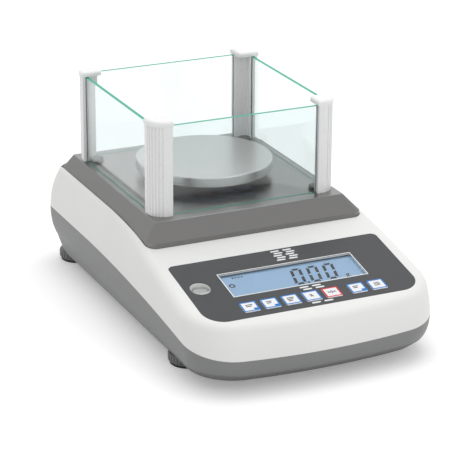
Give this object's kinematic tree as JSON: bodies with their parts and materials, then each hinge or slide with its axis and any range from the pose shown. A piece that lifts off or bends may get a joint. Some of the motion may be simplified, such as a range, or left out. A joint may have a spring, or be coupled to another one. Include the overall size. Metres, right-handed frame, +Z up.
{
  "type": "precision balance",
  "caption": "Bench precision balance with a round steel pan inside an open-topped glass draft shield, a sloping key panel with display, bubble level and screw feet.",
  "frame": {"origin": "on the bench, under the middle of the housing's outline", "axes": "+Z up, the key panel and display face -Y, +X to the user's right"},
  "size_m": [0.21, 0.3379, 0.1724],
  "materials": {
    "lower_housing": "mid-grey fine-textured moulding",
    "upper_housing": "off-white fine-textured moulding",
    "steel_cover": "brushed stainless sheet",
    "steel_pan": "brushed stainless",
    "overlay": "dark grey printed film",
    "window": "clear polished",
    "display_module": "white backlight frame",
    "liquid_crystal": "lit blue display",
    "level_metal": "bright turned metal",
    "level_vial": "clear with tinted liquid",
    "board": "green solder mask",
    "switches": "black",
    "key_plastic": "white key with a coloured rim",
    "screws": "zinc plated",
    "cell_aluminium": "machined",
    "mount_steel": "plated steel",
    "pad_rubber": "black",
    "knobs": "dark",
    "post_plastic": "white moulding",
    "shield_glass": "clear float glass with green cut edges",
    "foot_plastic": "black with a grip",
    "foot_rubber": "black",
    "insert_brass": "turned",
    "jack_plastic": "black",
    "connector_metal": "plated shell",
    "plug_plastic": "grey"
  },
  "bodies": {
    "balance": {"lower_housing": "lower_housing", "upper_housing": "upper_housing", "deck_cover": "steel_cover", "front_overlay": "overlay", "display_window": "window", "lcd_module": "display_module", "lcd_panel": "liquid_crystal", "level_cup": "level_metal", "level_vial": "level_vial", "display_board": "board", "main_board": "board", "key_switches": "switches", "display_board_screws": "screws", "main_board_screws": "screws", "housing_screws": "screws", "cell_screws": "screws", "post_screws": "screws", "weighing_cell": "cell_aluminium", "cell_mount": "mount_steel", "overload_stop": "mount_steel", "cover_knobs": "knobs", "shield_post_front_left": "post_plastic", "shield_post_front_right": "post_plastic", "shield_post_back_left": "post_plastic", "shield_post_back_right": "post_plastic", "post_cap_front_left": "post_plastic", "post_cap_front_right": "post_plastic", "post_cap_back_left": "post_plastic", "post_cap_back_right": "post_plastic", "front_glass": "shield_glass", "back_glass": "shield_glass", "left_glass": "shield_glass", "right_glass": "shield_glass", "foot_inserts": "insert_brass", "power_jack": "jack_plastic", "data_connector": "connector_metal", "underfloor_plug": "plug_plastic"},
    "pan_carrier": {"pan_support": "cell_aluminium", "pan_pads": "pad_rubber"},
    "pan": {"weighing_pan": "steel_pan"},
    "on_off_key_body": {"on_off_key": "key_plastic"},
    "print_key_body": {"print_key": "key_plastic"},
    "units_key_body": {"units_key": "key_plastic"},
    "percent_key_body": {"percent_key": "key_plastic"},
    "tare_key_body": {"tare_key": "key_plastic"},
    "mode_key_body": {"mode_key": "key_plastic"},
    "set_key_body": {"set_key": "key_plastic"},
    "pad_front_left": {"foot_pad_front_left": "foot_rubber"},
    "wheel_front_left": {"foot_wheel_front_left": "foot_plastic"},
    "pad_front_right": {"foot_pad_front_right": "foot_rubber"},
    "wheel_front_right": {"foot_wheel_front_right": "foot_plastic"},
    "pad_back_left": {"foot_pad_back_left": "foot_rubber"},
    "wheel_back_left": {"foot_wheel_back_left": "foot_plastic"},
    "pad_back_right": {"foot_pad_back_right": "foot_rubber"},
    "wheel_back_right": {"foot_wheel_back_right": "foot_plastic"}
  },
  "joints": [
    {"name": "carrier_deflection", "type": "slide", "parent": "balance", "child": "pan_carrier", "axis": [0, 0, -1], "range_m": [0, 0.0004], "stiffness_N_per_m": 30000, "springref_m": -0.0002},
    {"name": "pan_lift", "type": "slide", "parent": "pan_carrier", "child": "pan", "axis": [0, 0, 1], "range_m": [0, 0.09]},
    {"name": "on_off_key_press", "type": "slide", "parent": "balance", "child": "on_off_key_body", "axis": [0, 0.2001, -0.9798], "range_m": [0, 0.0004], "stiffness_N_per_m": 2000, "springref_m": -0.0003},
    {"name": "print_key_press", "type": "slide", "parent": "balance", "child": "print_key_body", "axis": [0, 0.2001, -0.9798], "range_m": [0, 0.0004], "stiffness_N_per_m": 2000, "springref_m": -0.0003},
    {"name": "units_key_press", "type": "slide", "parent": "balance", "child": "units_key_body", "axis": [0, 0.2001, -0.9798], "range_m": [0, 0.0004], "stiffness_N_per_m": 2000, "springref_m": -0.0003},
    {"name": "percent_key_press", "type": "slide", "parent": "balance", "child": "percent_key_body", "axis": [0, 0.2001, -0.9798], "range_m": [0, 0.0004], "stiffness_N_per_m": 2000, "springref_m": -0.0003},
    {"name": "tare_key_press", "type": "slide", "parent": "balance", "child": "tare_key_body", "axis": [0, 0.2001, -0.9798], "range_m": [0, 0.0004], "stiffness_N_per_m": 2000, "springref_m": -0.0003},
    {"name": "mode_key_press", "type": "slide", "parent": "balance", "child": "mode_key_body", "axis": [0, 0.2001, -0.9798], "range_m": [0, 0.0004], "stiffness_N_per_m": 2000, "springref_m": -0.0003},
    {"name": "set_key_press", "type": "slide", "parent": "balance", "child": "set_key_body", "axis": [0, 0.2001, -0.9798], "range_m": [0, 0.0004], "stiffness_N_per_m": 2000, "springref_m": -0.0003},
    {"name": "foot_extend_front_left", "type": "slide", "parent": "balance", "child": "pad_front_left", "axis": [0, 0, -1], "range_m": [0, 0.005]},
    {"name": "foot_turn_front_left", "type": "hinge", "parent": "pad_front_left", "child": "wheel_front_left", "pos_m": [-0.0826, -0.0888, 0.0055], "axis": [0, 0, -1], "range_deg": [0, 1800]},
    {"name": "foot_extend_front_right", "type": "slide", "parent": "balance", "child": "pad_front_right", "axis": [0, 0, -1], "range_m": [0, 0.005]},
    {"name": "foot_turn_front_right", "type": "hinge", "parent": "pad_front_right", "child": "wheel_front_right", "pos_m": [0.0826, -0.0888, 0.0055], "axis": [0, 0, -1], "range_deg": [0, 1800]},
    {"name": "foot_extend_back_left", "type": "slide", "parent": "balance", "child": "pad_back_left", "axis": [0, 0, -1], "range_m": [0, 0.005]},
    {"name": "foot_turn_back_left", "type": "hinge", "parent": "pad_back_left", "child": "wheel_back_left", "pos_m": [-0.0826, 0.1497, 0.0055], "axis": [0, 0, -1], "range_deg": [0, 1800]},
    {"name": "foot_extend_back_right", "type": "slide", "parent": "balance", "child": "pad_back_right", "axis": [0, 0, -1], "range_m": [0, 0.005]},
    {"name": "foot_turn_back_right", "type": "hinge", "parent": "pad_back_right", "child": "wheel_back_right", "pos_m": [0.0826, 0.1497, 0.0055], "axis": [0, 0, -1], "range_deg": [0, 1800]}
  ],
  "couplings": [
    {"joint": "foot_turn_front_left", "follows": "foot_extend_front_left", "rad_per_m": 6283.2},
    {"joint": "foot_turn_front_right", "follows": "foot_extend_front_right", "rad_per_m": 6283.2},
    {"joint": "foot_turn_back_left", "follows": "foot_extend_back_left", "rad_per_m": 6283.2},
    {"joint": "foot_turn_back_right", "follows": "foot_extend_back_right", "rad_per_m": 6283.2}
  ]
}
